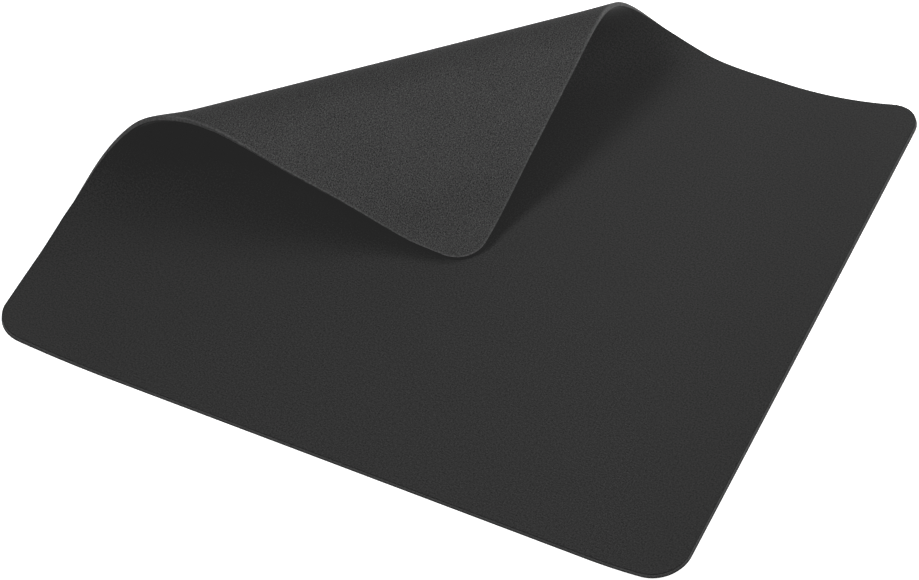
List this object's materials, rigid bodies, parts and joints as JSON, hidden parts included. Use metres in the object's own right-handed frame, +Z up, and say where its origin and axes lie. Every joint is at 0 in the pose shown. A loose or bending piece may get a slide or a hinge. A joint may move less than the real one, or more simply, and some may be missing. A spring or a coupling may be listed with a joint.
{
  "type": "mouse pad",
  "caption": "Thin rectangular cloth-topped foam-rubber mouse pad with rounded corners; one corner is rolled over to show the non-slip underside, and unrolls flat.",
  "frame": {"origin": "middle of the pad's footprint, on the desk", "axes": "+X along the long front edge, +Y from the front edge to the back edge, +Z up from the desk"},
  "size_m": [0.2505, 0.2255, 0.0387],
  "materials": {
    "cloth_top": "matt black woven polyester",
    "bond_film": "black hot-melt film",
    "rubber_base": "dark grey foam rubber with a fine grained non-slip face"
  },
  "bodies": {
    "mat": {"base_field": "rubber_base", "film_field": "bond_film", "cloth_field": "cloth_top"},
    "strip_1": {"base_strip_1": "rubber_base", "film_strip_1": "bond_film", "cloth_strip_1": "cloth_top"},
    "strip_2": {"base_strip_2": "rubber_base", "film_strip_2": "bond_film", "cloth_strip_2": "cloth_top"},
    "strip_3": {"base_strip_3": "rubber_base", "film_strip_3": "bond_film", "cloth_strip_3": "cloth_top"},
    "strip_4": {"base_strip_4": "rubber_base", "film_strip_4": "bond_film", "cloth_strip_4": "cloth_top"},
    "strip_5": {"base_strip_5": "rubber_base", "film_strip_5": "bond_film", "cloth_strip_5": "cloth_top"},
    "strip_6": {"base_strip_6": "rubber_base", "film_strip_6": "bond_film", "cloth_strip_6": "cloth_top"},
    "strip_7": {"base_strip_7": "rubber_base", "film_strip_7": "bond_film", "cloth_strip_7": "cloth_top"},
    "strip_8": {"base_strip_8": "rubber_base", "film_strip_8": "bond_film", "cloth_strip_8": "cloth_top"},
    "strip_9": {"base_strip_9": "rubber_base", "film_strip_9": "bond_film", "cloth_strip_9": "cloth_top"},
    "flap": {"base_flap": "rubber_base", "film_flap": "bond_film", "cloth_flap": "cloth_top"}
  },
  "joints": [
    {"name": "corner_roll", "type": "hinge", "parent": "mat", "child": "strip_1", "pos_m": [-0.03144, 0.03036, 0.002], "axis": [-0.6947, -0.7193, 0], "range_deg": [0, 21.24]},
    {"name": "corner_roll_2", "type": "hinge", "parent": "strip_1", "child": "strip_2", "pos_m": [-0.03694, 0.03567, 0.00497], "axis": [-0.6947, -0.7193, 0], "range_deg": [0, 21.24]},
    {"name": "corner_roll_3", "type": "hinge", "parent": "strip_2", "child": "strip_3", "pos_m": [-0.0403, 0.03892, 0.00925], "axis": [-0.6947, -0.7193, 0], "range_deg": [0, 21.24]},
    {"name": "corner_roll_4", "type": "hinge", "parent": "strip_3", "child": "strip_4", "pos_m": [-0.04232, 0.04087, 0.01494], "axis": [-0.6947, -0.7193, 0], "range_deg": [0, 21.24]},
    {"name": "corner_roll_5", "type": "hinge", "parent": "strip_4", "child": "strip_5", "pos_m": [-0.04272, 0.04126, 0.02125], "axis": [-0.6947, -0.7193, 0], "range_deg": [0, 21.24]},
    {"name": "corner_roll_6", "type": "hinge", "parent": "strip_5", "child": "strip_6", "pos_m": [-0.04145, 0.04003, 0.02734], "axis": [-0.6947, -0.7193, 0], "range_deg": [0, 21.24]},
    {"name": "corner_roll_7", "type": "hinge", "parent": "strip_6", "child": "strip_7", "pos_m": [-0.03868, 0.03735, 0.03237], "axis": [-0.6947, -0.7193, 0], "range_deg": [0, 21.24]},
    {"name": "corner_roll_8", "type": "hinge", "parent": "strip_7", "child": "strip_8", "pos_m": [-0.03478, 0.03359, 0.03567], "axis": [-0.6947, -0.7193, 0], "range_deg": [0, 21.24]},
    {"name": "corner_roll_9", "type": "hinge", "parent": "strip_8", "child": "strip_9", "pos_m": [-0.03029, 0.02925, 0.03678], "axis": [-0.6947, -0.7193, 0], "range_deg": [0, 21.24]},
    {"name": "corner_roll_10", "type": "hinge", "parent": "strip_9", "child": "flap", "pos_m": [-0.0245, 0.02366, 0.03519], "axis": [-0.6947, -0.7193, 0], "range_deg": [0, 21.24]}
  ],
  "couplings": [
    {"joint": "corner_roll_2", "follows": "corner_roll", "ratio": 1},
    {"joint": "corner_roll_3", "follows": "corner_roll", "ratio": 1},
    {"joint": "corner_roll_4", "follows": "corner_roll", "ratio": 1},
    {"joint": "corner_roll_5", "follows": "corner_roll", "ratio": 1},
    {"joint": "corner_roll_6", "follows": "corner_roll", "ratio": 1},
    {"joint": "corner_roll_7", "follows": "corner_roll", "ratio": 1},
    {"joint": "corner_roll_8", "follows": "corner_roll", "ratio": 1},
    {"joint": "corner_roll_9", "follows": "corner_roll", "ratio": 1},
    {"joint": "corner_roll_10", "follows": "corner_roll", "ratio": 1}
  ]
}
